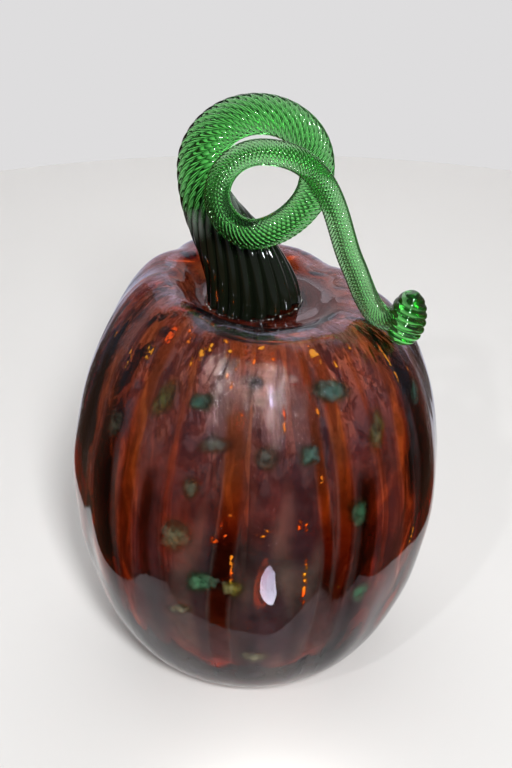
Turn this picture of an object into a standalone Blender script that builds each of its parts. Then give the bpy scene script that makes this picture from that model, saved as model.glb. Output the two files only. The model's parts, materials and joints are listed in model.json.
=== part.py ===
"""A blown glass pumpkin: a hollow lobed body, a curled stem and bits of coloured glass.

Lengths are in metres, +Z is up, and -Y is the front. The origin is the middle of the foot,
on the surface that the pumpkin stands on. The body is one shell with a dished top. The stem
is one gather of glass that stands in the dish, curls one and a quarter turns and lays its end
on the shoulder. Each bit of coloured glass lies in a shallow pocket of its own in the skin.
"""

from math import atan2, cos, pi, radians, sin

import bmesh
import bpy
from mathutils import Matrix, Vector

# Body: outer sizes, the seat that the stem stands on, and the glass thickness
BODY_DIAMETER = 0.150
BODY_HEIGHT = 0.165
EQUATOR_HEIGHT = 0.084
FOOT_RADIUS = 0.039
CREST_RADIUS = 0.037
SEAT_HEIGHT = 0.158
SEAT_RADIUS = 0.021
WALL = 0.0045
BASE_WALL = 0.007
NECK_HOLE_RADIUS = 0.008

# Fullness of the body's outline: how far each curve keeps its direction
FOOT_FULLNESS = 0.018
LOWER_FULLNESS = 0.0425
UPPER_FULLNESS = 0.038
CREST_FULLNESS = 0.0185
DISH_FULLNESS = 0.008

# Lobes, and how the soft glass moved before it set
LOBES = 12
LOBE_TURN = radians(7)
GROOVE_DEPTH = 0.0013
CREST_GROOVE_DEPTH = 0.0015
CREST_DROP_FRONT = 0.002
CREST_DROP_RIGHT = 0.0055
RIM_DIP = 0.003
RIM_DIP_AT = radians(141)
RIM_DIP_SPREAD = radians(20)
LEAN = 0.004

# Stem: thickness along it, and the route of its stump and its two turns
STEM_FOOT_RADIUS = 0.0183
STEM_FOOT_SHIFT = 0.001
STEM_FOOT_LIP = 0.0015
STEM_CURL_THICKNESS = 0.0176
STEM_TAIL_THICKNESS = 0.0095
STEM_END_THICKNESS = 0.0092
STUMP_RISE = 0.052
STUMP_STRAIGHT = 0.026
STUMP_LEAN = 0.006
STUMP_FLARE = 1.6
CURL_RADIUS = 0.0215
CURL_HEIGHT_SHARE = 0.93
CURL_SHIFT = 0.001
CURL_BACK = 0.0045
SECOND_TURN_RADIUS = 0.0159
SECOND_TURN_SHIFT = 0.001
SECOND_TURN_DROP = 0.0036
SECOND_TURN_STEP = 0.0215
TAIL_STEP_BACK = 0.006
CURL_TURNS = 1.25
CURL_TAPER = 0.8

# Where along the curl the second turn shrinks, steps forward and steps back again
SHRINK_FROM = radians(200)
SHRINK_TO = radians(270)
FORWARD_FROM = radians(150)
FORWARD_TO = radians(300)
BACK_FROM = radians(300)

# Tail and its end knob, which rests on the shoulder
KNOB_LENGTH = 0.0215
KNOB_THICKNESS = 0.0148
KNOB_AZIMUTH = radians(70)
KNOB_REST_HEIGHT_SHARE = 0.955
KNOB_LEAN = (0.18, 0.12, 0.95)
TAIL_ELBOW_IN = 0.0212
TAIL_ELBOW_RISE = 0.0208
TAIL_ELBOW_BACK = 0.003

# Shares that shape the tail's curves: over from the curl, down to the elbow, into the knob
TAIL_OVER = 0.8
TAIL_FALL = 0.35
ELBOW_LEAVE = (0.22, -0.30, -0.48)
KNOB_ARRIVE = (-0.66, 0.0, -0.095)
TAIL_END_SHARE = 0.32

# Shares of the knob's half length and half thickness that shape its outline
KNOB_WAIST = -0.18
KNOB_TIP = (0.16, 0.98)
KNOB_SHOULDER = (0.64, 0.88)
KNOB_UPPER_FULLNESS = 0.46
KNOB_LOWER_FULLNESS = 0.68
KNOB_BASE_FULLNESS = 0.55

# Bits of coloured glass in the skin
BIT_THICKNESS = 0.0016
BIT_SINK = 0.0001
BIT_PITCH = 0.001

# Gap between neighbours, merge distance, and the step for finding the skin's directions
CLEARANCE = 0.0003
MERGE = 0.00001
PROBE = 0.01

# Smooth shading turns sharp where faces meet at more than this
BODY_SHARP_ABOVE = radians(40)
STEM_SHARP_ABOVE = radians(50)

# How finely round shapes are stepped
BODY_STEPS = 60
FLANK_STEPS = 9
DISH_STEPS = 4
CURL_STEP = radians(10)
STUMP_STEPS = 12
TAIL_STEPS = 14
KNOB_STEPS = 16
KNOB_OUTLINE_STEPS = 5
BIT_STEPS_AROUND = 10
BIT_STEPS_ALONG = 6
TUBE_RESOLUTION = 4

# Each bit's name, its distance round the body from the front to the right, its height as a
# share of the body's height, its length and width, its turn in degrees from level, and its
# kind of glass; distance, length and width are given in pitches
BITS = (
    ("frit_bit_01", -37.5, 0.86, 15, 8, 70, "olive"),
    ("frit_bit_02", -21.8, 0.88, 9, 6, 20, "teal"),
    ("frit_bit_03", 26.9, 0.905, 15, 8, -10, "teal"),
    ("frit_bit_04", -16.1, 0.80, 12, 6, 5, "sage"),
    ("frit_bit_05", 2.3, 0.78, 10, 8, 80, "sage"),
    ("frit_bit_06", 18.7, 0.78, 9, 7, 50, "teal"),
    ("frit_bit_07", -31.1, 0.58, 16, 12, 60, "sage"),
    ("frit_bit_08", -24.7, 0.70, 9, 6, 85, "sage"),
    ("frit_bit_09", 39.7, 0.62, 12, 7, 80, "teal"),
    ("frit_bit_10", -20.9, 0.465, 13, 9, 15, "teal"),
    ("frit_bit_11", -9.1, 0.455, 9, 8, 60, "olive"),
    ("frit_bit_12", -29.4, 0.37, 10, 6, 30, "sage"),
    ("frit_bit_13", 42.4, 0.39, 11, 8, 75, "teal"),
    ("frit_bit_14", 0.0, 0.225, 12, 7, 5, "sage"),
    ("frit_bit_15", 47.0, 0.80, 16, 8, 65, "olive"),
    ("frit_bit_16", 74.1, 0.82, 12, 7, 50, "teal"),
    ("frit_bit_17", -61.2, 0.77, 13, 8, 80, "sage"),
    ("frit_bit_18", -122.6, 0.60, 14, 9, 40, "teal"),
    ("frit_bit_19", -167.6, 0.75, 12, 8, 65, "olive"),
    ("frit_bit_20", 232.8, 0.50, 15, 10, 25, "sage"),
    ("frit_bit_21", 160.8, 0.70, 13, 8, 80, "teal"),
    ("frit_bit_22", 130.1, 0.45, 12, 9, 15, "sage"),
)
BIT_GLASS = {
    "teal": (0.05, 0.35, 0.28, 1.0),
    "olive": (0.25, 0.28, 0.06, 1.0),
    "sage": (0.20, 0.32, 0.24, 1.0),
}
AMBER_GLASS = (0.42, 0.09, 0.02, 1.0)
GREEN_GLASS = (0.02, 0.30, 0.05, 1.0)


def smooth(value, low, high):
    """Goes from 0 at low to 1 at high with no corner at either end."""
    share = min(max((value - low) / (high - low), 0.0), 1.0)
    return share * share * (3.0 - 2.0 * share)


def mix(first, second, share):
    """The value that lies a share of the way from first to second."""
    return first + (second - first) * share


def bezier(start, leave, arrive, end, steps):
    """Points along one cubic curve, both ends included."""
    points = []
    for step in range(steps + 1):
        t = step / steps
        s = 1.0 - t
        weights = (s ** 3, 3 * s * s * t, 3 * s * t * t, t ** 3)
        point = Vector([0.0] * len(start))
        for corner, weight in zip((start, leave, arrive, end), weights):
            point += Vector(corner) * weight
        points.append(point)
    return points


def half_outline(inset, floor):
    """The half section's main curves as (radius, height), set in from the skin by inset.

    Returns the lower flank from the foot to the equator, the upper flank on to the crest, and
    the dish from the crest to the edge of the stem's seat.
    """
    equator = BODY_DIAMETER / 2 - inset
    foot = FOOT_RADIUS - inset
    crest_top = BODY_HEIGHT - inset
    seat = SEAT_HEIGHT - inset
    widest = (equator, EQUATOR_HEIGHT)
    crest = (CREST_RADIUS, crest_top)
    lower = bezier((foot, floor), (foot + FOOT_FULLNESS, floor),
                   (equator, EQUATOR_HEIGHT - LOWER_FULLNESS), widest, FLANK_STEPS)
    upper = bezier(widest, (equator, EQUATOR_HEIGHT + UPPER_FULLNESS),
                   (CREST_RADIUS + CREST_FULLNESS, crest_top), crest, FLANK_STEPS)
    dish = bezier(crest, (CREST_RADIUS - DISH_FULLNESS, crest_top),
                  (SEAT_RADIUS + DISH_FULLNESS, seat), (SEAT_RADIUS, seat), DISH_STEPS)
    return lower, upper, dish


def set_by_hand(radius, azimuth, height):
    """Where a point of the plain turned shape ends up once the lobes and the lean are in.

    The grooves are pressed in along the flank, the crest sits lower towards the front right,
    and the seat of the stem stays level. Azimuth is 0 at the front and grows to the right.
    """
    rise = min(max((height - EQUATOR_HEIGHT) / (BODY_HEIGHT - EQUATOR_HEIGHT), 0.0), 1.0)
    outside_seat = smooth(radius, SEAT_RADIUS, CREST_RADIUS)
    off_foot = smooth(height, 0.0, EQUATOR_HEIGHT)
    groove = (1.0 - cos(LOBES * (azimuth - LOBE_TURN))) / 2
    press = mix(GROOVE_DEPTH * off_foot, CREST_GROOVE_DEPTH, rise ** 2) * outside_seat
    reach = radius - press * groove
    from_dip = atan2(sin(azimuth - RIM_DIP_AT), cos(azimuth - RIM_DIP_AT))
    dip = RIM_DIP * smooth(-abs(from_dip), -2 * RIM_DIP_SPREAD, 0.0)
    tilt = CREST_DROP_FRONT * cos(azimuth) + CREST_DROP_RIGHT * sin(azimuth)
    drop = (tilt + dip) * rise ** 2 * outside_seat
    notch = CREST_GROOVE_DEPTH / 2 * groove * rise ** 4 * outside_seat
    lean = LEAN * (height - EQUATOR_HEIGHT) / BODY_HEIGHT * smooth(radius, 0.0, SEAT_RADIUS)
    return Vector((reach * sin(azimuth) + lean, -reach * cos(azimuth), height - drop - notch))


def flank_at(height_share):
    """Radius and height of the plain outline's flank at a share of the body's height."""
    lower, upper, _ = half_outline(0.0, 0.0)
    wanted = height_share * BODY_HEIGHT
    flank = lower + upper[1:]
    for low, high in zip(flank, flank[1:]):
        if low.y <= wanted <= high.y:
            share = (wanted - low.y) / (high.y - low.y)
            return mix(low.x, high.x, share), wanted
    return flank[-1].x, flank[-1].y


def skin(azimuth, height_share):
    """A point of the skin with its outward, sideways and upward directions."""
    radius, height = flank_at(height_share)
    radius_above, height_above = flank_at(height_share + PROBE)
    radius_below, height_below = flank_at(height_share - PROBE)
    above = set_by_hand(radius_above, azimuth, height_above)
    below = set_by_hand(radius_below, azimuth, height_below)
    right = set_by_hand(radius, azimuth + PROBE, height)
    left = set_by_hand(radius, azimuth - PROBE, height)
    sideways = (right - left).normalized()
    outward = sideways.cross(above - below).normalized()
    upward = outward.cross(sideways)
    return set_by_hand(radius, azimuth, height), outward, sideways, upward


def glass(name, colour):
    """A smooth glass of one colour."""
    material = bpy.data.materials.new(name)
    material.use_nodes = True
    shader = material.node_tree.nodes["Principled BSDF"]
    shader.inputs["Base Color"].default_value = colour
    shader.inputs["Roughness"].default_value = 0.05
    shader.inputs["Metallic"].default_value = 0.0
    shader.inputs["IOR"].default_value = 1.5
    material.diffuse_color = colour
    return material


def mesh_object(name, mesh, collection, material=None):
    """Puts a mesh in a collection as one named object."""
    item = bpy.data.objects.new(name, mesh)
    collection.objects.link(item)
    if material is not None:
        mesh.materials.append(material)
    return item


def applied(item):
    """A new mesh of the object as its modifiers leave it; the object is removed."""
    bpy.context.view_layer.update()
    graph = bpy.context.evaluated_depsgraph_get()
    mesh = bpy.data.meshes.new_from_object(item.evaluated_get(graph))
    bpy.data.objects.remove(item, do_unlink=True)
    return mesh


def turned(outline, steps, collection):
    """Turns a half section about Z. The section runs down its outer side, top to bottom."""
    points = [(point.x, 0.0, point.y) for point in outline]
    edges = [(index, index + 1) for index in range(len(outline) - 1)]
    mesh = bpy.data.meshes.new("section")
    mesh.from_pydata(points, edges, [])
    item = mesh_object("section", mesh, collection)
    screw = item.modifiers.new("turn", "SCREW")
    screw.axis = "Z"
    screw.steps = steps
    screw.render_steps = steps
    screw.use_merge_vertices = True
    screw.merge_threshold = MERGE
    return applied(item)


def soften(mesh, sharp_above):
    """Shades a mesh smooth, and sharp where faces meet at more than an angle."""
    mesh.shade_smooth()
    mesh.set_sharp_from_angle(angle=sharp_above)


def make_body(collection, cutters):
    """The hollow shell, with a pocket in its skin for each bit of coloured glass.

    Its closed section runs up the inner wall, through the neck hole and down the skin.
    """
    inner_lower, inner_upper, inner_dish = half_outline(WALL, BASE_WALL)
    lower, upper, dish = half_outline(0.0, 0.0)
    inner = [Vector((0.0, BASE_WALL))] + inner_lower + inner_upper[1:] + inner_dish[1:]
    neck = [Vector((NECK_HOLE_RADIUS, SEAT_HEIGHT - WALL)), Vector((NECK_HOLE_RADIUS, SEAT_HEIGHT))]
    outer = dish[::-1] + upper[::-1][1:] + lower[::-1][1:] + [Vector((0.0, 0.0))]
    mesh = turned(inner + neck + outer, BODY_STEPS, collection)
    for vertex in mesh.vertices:
        radius = vertex.co.xy.length
        azimuth = atan2(vertex.co.x, -vertex.co.y)
        vertex.co = set_by_hand(radius, azimuth, vertex.co.z)
    soften(mesh, BODY_SHARP_ABOVE)
    body = mesh_object("body_shell", mesh, collection, glass("amber_glass", AMBER_GLASS))
    pockets = body.modifiers.new("pockets", "BOOLEAN")
    pockets.operation = "DIFFERENCE"
    pockets.operand_type = "COLLECTION"
    pockets.collection = cutters
    pockets.solver = "EXACT"
    return body


def bit_mesh(name, length, width, grow):
    """A flat pebble of glass, or with grow the hollow that it lies in."""
    shape = bmesh.new()
    bmesh.ops.create_uvsphere(shape, u_segments=BIT_STEPS_AROUND, v_segments=BIT_STEPS_ALONG, radius=1.0)
    half = Vector((length / 2 + grow, width / 2 + grow, BIT_THICKNESS / 2 + grow))
    for vertex in shape.verts:
        vertex.co *= half
    mesh = bpy.data.meshes.new(name)
    shape.to_mesh(mesh)
    shape.free()
    soften(mesh, pi)
    return mesh


def make_bits(collection, cutters):
    """The bits of coloured glass, each just under the skin, and the pockets they lie in."""
    materials = {name: glass(name + "_glass", colour) for name, colour in BIT_GLASS.items()}
    for name, around, height_share, long, wide, turn, colour in BITS:
        radius, _ = flank_at(height_share)
        point, outward, sideways, upward = skin(around * BIT_PITCH / radius, height_share)
        centre = point - outward * (BIT_THICKNESS / 2 + BIT_SINK)
        level = Matrix((sideways, upward, outward)).transposed()
        place = Matrix.Translation(centre) @ level.to_4x4() @ Matrix.Rotation(radians(turn), 4, "Z")
        length = long * BIT_PITCH
        width = wide * BIT_PITCH
        bit = mesh_object(name, bit_mesh(name, length, width, 0.0), collection, materials[colour])
        bit.matrix_world = place
        pocket = mesh_object("pocket_" + name, bit_mesh("pocket", length, width, CLEARANCE), cutters)
        pocket.matrix_world = place
        pocket.hide_render = True
        pocket.display_type = "WIRE"


def knob_outline():
    """The bud's half section, round below and drawn out to a blunt point above."""
    half = KNOB_LENGTH / 2
    widest = KNOB_THICKNESS / 2
    waist = (widest, half * KNOB_WAIST)
    tip = (widest * KNOB_TIP[0], half * KNOB_TIP[1])
    shoulder = (widest * KNOB_SHOULDER[0], half * KNOB_SHOULDER[1])
    upper = bezier(tip, shoulder, (widest, half * KNOB_UPPER_FULLNESS), waist, KNOB_OUTLINE_STEPS)
    lower = bezier(waist, (widest, -half * KNOB_LOWER_FULLNESS), (widest * KNOB_BASE_FULLNESS, -half),
                   (0.0, -half), KNOB_OUTLINE_STEPS)
    return [Vector((0.0, half))] + upper + lower[1:]


def knob_place():
    """The knob's centre and its axis, with its side resting just clear of the shoulder."""
    point, outward, _, _ = skin(KNOB_AZIMUTH, KNOB_REST_HEIGHT_SHARE)
    axis = Vector(KNOB_LEAN).normalized()
    along = outward.dot(axis)
    across = (1.0 - along * along) ** 0.5
    reach = max(across * p.x - along * p.y for p in knob_outline())
    return point + outward * (reach + CLEARANCE), axis


def stump_points():
    """The stem's centre line from just above its foot to the left side of the first turn."""
    lip = Vector((-STEM_FOOT_SHIFT, 0.0, SEAT_HEIGHT + CLEARANCE + STEM_FOOT_LIP))
    curl_left = Vector((CURL_SHIFT - CURL_RADIUS, CURL_BACK, SEAT_HEIGHT + CLEARANCE + STUMP_RISE))
    leave = lip + Vector((-STUMP_LEAN, 0.0, STUMP_STRAIGHT))
    arrive = curl_left - Vector((0.0, 0.0, CURL_RADIUS))
    return bezier(lip, leave, arrive, curl_left, STUMP_STEPS)


def curl_point(angle, end):
    """A point of the centre line, at an angle from the left side of the first turn."""
    second = smooth(angle, SHRINK_FROM, SHRINK_TO)
    radius = mix(CURL_RADIUS, SECOND_TURN_RADIUS, second)
    forward = SECOND_TURN_STEP * smooth(angle, FORWARD_FROM, FORWARD_TO)
    back = TAIL_STEP_BACK * smooth(angle, BACK_FROM, end)
    centre_x = CURL_SHIFT + SECOND_TURN_SHIFT * second
    centre_z = SEAT_HEIGHT + CLEARANCE + STUMP_RISE - SECOND_TURN_DROP * second
    return Vector((
        centre_x - radius * cos(angle),
        CURL_BACK - forward + back,
        centre_z + radius * CURL_HEIGHT_SHARE * sin(angle),
    ))


def tail_points(top):
    """The centre line from the top of the second turn, over and down into the knob."""
    knob, _ = knob_place()
    elbow = knob + Vector((-TAIL_ELBOW_IN, TAIL_ELBOW_BACK, TAIL_ELBOW_RISE))
    reach = Vector((TAIL_ELBOW_IN, TAIL_ELBOW_BACK, TAIL_ELBOW_RISE))
    over = mix(top.x, elbow.x, TAIL_OVER)
    above = (over, mix(top.y, elbow.y, TAIL_OVER), mix(elbow.z, top.z, TAIL_FALL))
    first = bezier(top, (over, top.y, top.z), above, elbow, TAIL_STEPS)
    leave = elbow + reach * Vector(ELBOW_LEAVE)
    arrive = reach * Vector(KNOB_ARRIVE)
    second = bezier(elbow, leave, knob + arrive, knob + arrive * TAIL_END_SHARE, TAIL_STEPS // 2)
    return first[1:] + second[1:]


def stem_route():
    """The stem's centre line from its foot to the knob, as (point, radius)."""
    thick = STEM_CURL_THICKNESS / 2
    thin = STEM_TAIL_THICKNESS / 2
    route = [(Vector((-STEM_FOOT_SHIFT, 0.0, SEAT_HEIGHT + CLEARANCE)), STEM_FOOT_RADIUS)]
    for step, point in enumerate(stump_points()):
        flare = (1 - step / STUMP_STEPS) ** STUMP_FLARE
        route.append((point, mix(thick, STEM_FOOT_RADIUS, flare)))
    end = CURL_TURNS * 2 * pi
    steps = round(end / CURL_STEP)
    for step in range(1, steps + 1):
        angle = end * step / steps
        share = min(angle / (2 * pi), 1.0) ** CURL_TAPER
        route.append((curl_point(angle, end), mix(thick, thin, share)))
    tail = tail_points(route[-1][0])
    for step, point in enumerate(tail, 1):
        route.append((point, mix(thin, STEM_END_THICKNESS / 2, step / len(tail))))
    return route


def make_knob(collection):
    """The bud at the stem's end, standing on the shoulder."""
    centre, axis = knob_place()
    knob = mesh_object("knob", turned(knob_outline(), KNOB_STEPS, collection), collection)
    knob.matrix_world = Matrix.LocRotScale(centre, axis.to_track_quat("Z", "Y"), None)
    knob.hide_render = True
    knob.display_type = "WIRE"
    return knob


def make_tube(collection):
    """The stem without its knob: a tapering tube along the route, as one closed mesh."""
    curve = bpy.data.curves.new("stem_route", "CURVE")
    curve.dimensions = "3D"
    curve.bevel_depth = 1.0
    curve.bevel_resolution = TUBE_RESOLUTION
    curve.use_fill_caps = True
    route = stem_route()
    line = curve.splines.new("POLY")
    line.points.add(len(route) - 1)
    for place, (point, radius) in zip(line.points, route):
        place.co = (*point, 1.0)
        place.radius = radius
    tube = bpy.data.objects.new("stem_route", curve)
    collection.objects.link(tube)
    where = tube.matrix_world.copy()
    mesh = applied(tube)
    bpy.data.curves.remove(curve)
    mesh.transform(where)
    mesh.materials.clear()
    shape = bmesh.new()
    shape.from_mesh(mesh)
    bmesh.ops.remove_doubles(shape, verts=shape.verts, dist=MERGE)
    shape.to_mesh(mesh)
    shape.free()
    return mesh


def make_stem(collection, helpers):
    """The stem: one gather of glass, with the bud joined on at its end."""
    mesh = make_tube(collection)
    stem = mesh_object("stem", mesh, collection, glass("green_glass", GREEN_GLASS))
    union = stem.modifiers.new("knob", "BOOLEAN")
    union.operation = "UNION"
    union.object = make_knob(helpers)
    union.solver = "EXACT"
    soften(mesh, STEM_SHARP_ABOVE)
    return stem


def main():
    """Clears the scene and makes the pumpkin."""
    for item in list(bpy.data.objects):
        bpy.data.objects.remove(item, do_unlink=True)
    pumpkin = bpy.data.collections.new("glass_pumpkin")
    pockets = bpy.data.collections.new("pocket_cutters")
    helpers = bpy.data.collections.new("joined_shapes")
    for collection in (pumpkin, pockets, helpers):
        bpy.context.scene.collection.children.link(collection)
    make_bits(pumpkin, pockets)
    make_body(pumpkin, pockets)
    make_stem(pumpkin, helpers)


main()
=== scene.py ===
"""Looks of the glass pumpkin: a blown amber body, a twisted green stem and bits of coloured glass.

Every length is in metres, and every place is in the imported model's own frame: +Z is up, -Y is the
front, and the origin is the middle of the foot. The body and the stem follow the same outline
values as the solids, with the ripples, ribs and wall thickness that the blown glass has.
"""

import json
import logging
from dataclasses import dataclass
from enum import Enum
from math import asin, cos, pi, radians, sin

import bmesh
import bpy
import numpy as np
from bpy.types import Material, Mesh, Node, NodeOutputs, NodeSocket, NodeTree, Object
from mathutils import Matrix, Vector
from mathutils.kdtree import KDTree


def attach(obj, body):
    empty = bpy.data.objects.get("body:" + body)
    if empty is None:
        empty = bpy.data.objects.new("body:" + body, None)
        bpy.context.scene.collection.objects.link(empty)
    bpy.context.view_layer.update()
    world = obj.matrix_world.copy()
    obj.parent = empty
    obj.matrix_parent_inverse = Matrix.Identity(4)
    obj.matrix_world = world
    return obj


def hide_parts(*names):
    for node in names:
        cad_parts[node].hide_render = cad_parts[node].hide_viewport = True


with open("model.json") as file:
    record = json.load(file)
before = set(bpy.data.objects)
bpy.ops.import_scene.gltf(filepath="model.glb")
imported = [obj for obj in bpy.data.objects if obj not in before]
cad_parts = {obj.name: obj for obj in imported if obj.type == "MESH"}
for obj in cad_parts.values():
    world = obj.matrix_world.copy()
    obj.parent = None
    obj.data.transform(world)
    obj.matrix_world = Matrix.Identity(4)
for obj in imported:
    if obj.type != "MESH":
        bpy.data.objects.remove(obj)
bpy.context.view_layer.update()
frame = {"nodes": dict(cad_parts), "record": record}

LOG = logging.getLogger("glass_pumpkin")
BODY = "root"
MERGE = 0.00001
HEADROOM = 1.05
SOFT = {"interpolation_type": "SMOOTHSTEP"}


def linear(code: str) -> tuple[float, float, float, float]:
    """Turns an sRGB hex colour into linear light.

    Args:
        code: the colour as #RRGGBB.

    Returns:
        Red, green, blue and an alpha of 1.
    """
    values = [int(code[start:start + 2], 16) / 255 for start in (1, 3, 5)]
    light = [v / 12.92 if v <= 0.04045 else ((v + 0.055) / 1.055) ** 2.4 for v in values]
    return light[0], light[1], light[2], 1.0


def feed(tree: NodeTree, node: Node, inputs: dict) -> None:
    """Sets a node's inputs, or links them to the outputs that feed them.

    Args:
        tree: the node tree it is in.
        node: the node.
        inputs: socket name or number against a value, or against an output.
    """
    for key, value in inputs.items():
        if isinstance(value, NodeSocket):
            tree.links.new(value, node.inputs[key])
        else:
            node.inputs[key].default_value = value


def add(tree: NodeTree, kind: str, inputs: dict | None = None, **settings) -> NodeOutputs:
    """Adds one shader node with its settings and links.

    A MapRange takes its value as 0, a span as 1 and 2, and what the span's ends become as 3 and 4.
    A Mix of colours takes its share as 0 and its two colours as 6 and 7.

    Args:
        tree: the node tree it goes into.
        kind: the node's type without its ShaderNode start.
        inputs: socket name or number against a value, or against the output that feeds it.
        settings: the node's own settings.

    Returns:
        The new node's outputs.
    """
    node = tree.nodes.new("ShaderNode" + kind)
    for name, value in settings.items():
        setattr(node, name, value)
    feed(tree, node, inputs or {})
    return node.outputs


def new_material(name: str) -> tuple[Material, NodeTree, Node]:
    """Starts a material with one Principled shader.

    Args:
        name: the material's name.

    Returns:
        The material, its node tree and its shader.
    """
    material = bpy.data.materials.new(name)
    material.use_nodes = True
    tree = material.node_tree
    return material, tree, tree.nodes["Principled BSDF"]


def smooth(value: np.ndarray, low: float, high: float) -> np.ndarray:
    """Goes from 0 at low to 1 at high with no corner at either end."""
    share = np.clip((value - low) / (high - low), 0.0, 1.0)
    return share * share * (3.0 - 2.0 * share)


def mix(first: np.ndarray, second: np.ndarray, share: np.ndarray) -> np.ndarray:
    """The value that lies a share of the way from first to second."""
    return first + (second - first) * share


def bezier(start: tuple, leave: tuple, arrive: tuple, end: tuple, steps: int) -> np.ndarray:
    """Points along one cubic curve.

    Args:
        start: the curve's first corner.
        leave: the corner that it leaves towards.
        arrive: the corner that it arrives from.
        end: its last corner.
        steps: how many steps it is cut into.

    Returns:
        The points, both ends included, one row each.
    """
    t = np.linspace(0.0, 1.0, steps + 1)[:, None]
    s = 1.0 - t
    corners = [np.asarray(c, float) for c in (start, leave, arrive, end)]
    weights = (s ** 3, 3 * s * s * t, 3 * s * t * t, t ** 3)
    return sum(w * c for w, c in zip(weights, corners))


def mesh_piece(name: str, verts: np.ndarray, faces: list, material: Material) -> Object:
    """Makes one smooth-shaded mesh object in the scene.

    Args:
        name: the piece's name.
        verts: its points, one row each.
        faces: lists of point numbers.
        material: its finish.

    Returns:
        The new object.
    """
    mesh = bpy.data.meshes.new(name)
    mesh.from_pydata(np.asarray(verts, float).tolist(), [], faces)
    mesh.update()
    mesh.shade_smooth()
    mesh.materials.append(material)
    piece = bpy.data.objects.new(name, mesh)
    bpy.context.scene.collection.objects.link(piece)
    return piece


def grid_faces(rings: int, around: int, flip: bool = False) -> list[tuple[int, int, int, int]]:
    """Faces of the side of a tube.

    Args:
        rings: how many rings of points the tube has.
        around: how many points a ring has.
        flip: whether the faces point inwards.

    Returns:
        The faces, as point numbers.
    """
    faces = []
    for ring in range(rings - 1):
        low = ring * around
        high = low + around
        for point in range(around):
            after = (point + 1) % around
            face = (low + point, low + after, high + after, high + point)
            faces.append(face[::-1] if flip else face)
    return faces


def capped_faces(rings: int, around: int) -> list[tuple[int, ...]]:
    """Faces of a tube with both ends closed, the first ring's cap before the last ring's."""
    first = tuple(range(around))
    return grid_faces(rings, around) + [first[::-1], tuple(point + (rings - 1) * around for point in first)]


def full_circle(count: int) -> np.ndarray:
    """Even angles once round, from 0."""
    return np.linspace(0.0, 2 * pi, count, endpoint=False)


def lying_flat(points: np.ndarray) -> tuple[np.ndarray, np.ndarray, np.ndarray]:
    """Finds how a pebble lies.

    Args:
        points: its points.

    Returns:
        Its centre, its axes with the thinnest last, and how far it reaches along each.
    """
    centre = points.mean(0)
    _, _, axes = np.linalg.svd(points - centre, full_matrices=False)
    return centre, axes, np.abs((points - centre) @ axes.T).max(0)


def apply_modifiers(piece: Object) -> Mesh:
    """Gives the piece the mesh that its modifiers make, and removes them.

    Args:
        piece: the piece.

    Returns:
        Its new mesh.
    """
    bpy.context.view_layer.update()
    graph = bpy.context.evaluated_depsgraph_get()
    mesh = bpy.data.meshes.new_from_object(piece.evaluated_get(graph))
    piece.modifiers.clear()
    piece.data = mesh
    return mesh


def carry_tones(mesh: Mesh, places: np.ndarray, tones: np.ndarray) -> None:
    """Gives each point of a joined mesh the tone of the nearest point of the shapes it came from.

    Args:
        mesh: the joined mesh, which gets the attribute tone.
        places: the points of the shapes before they were joined.
        tones: their tones, one row of three each.
    """
    tree = KDTree(len(places))
    for index, place in enumerate(places):
        tree.insert(place, index)
    tree.balance()
    found = [tones[tree.find(vertex.co)[1]] for vertex in mesh.vertices]
    mesh.attributes.new("tone", "FLOAT_VECTOR", "POINT").data.foreach_set("vector", np.ravel(found))


@dataclass(frozen=True)
class SlowWaves:
    """Smooth unevenness that runs round a piece and closes on itself.

    It is a sum of waves with whole numbers of crests around, drawn from a seeded list.
    """

    seed: int
    around: tuple[int, int]
    along: float
    count: int = 14

    def at(self, azimuth: np.ndarray, along: np.ndarray) -> np.ndarray:
        """Adds the waves up.

        Args:
            azimuth: angles round the piece.
            along: places along its outline.

        Returns:
            The waves' height there, about -1 to 1.
        """
        draw = np.random.default_rng(self.seed)
        total = np.zeros(np.broadcast(azimuth, along).shape)
        for _ in range(self.count):
            crests = draw.integers(self.around[0], self.around[1] + 1)
            rise = draw.uniform(-self.along, self.along)
            start = draw.uniform(0.0, 2 * pi)
            total = total + np.cos(crests * azimuth + rise * along * 2 * pi + start)
        return total / self.count ** 0.5 / 1.5


class FritKind(Enum):
    """The kinds of coloured glass in the skin, by material slot, with deep and milky tone."""

    TEAL = ("teal_glass", "#529468", "#84B498")
    OLIVE = ("olive_glass", "#8E8C2C", "#A8A860")
    SAGE = ("sage_glass", "#80805A", "#A8AA88")

    @classmethod
    def of_slot(cls, name: str) -> "FritKind":
        """The kind that a material slot of the record stands for."""
        return next(kind for kind in cls if kind.value[0] == name)


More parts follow.
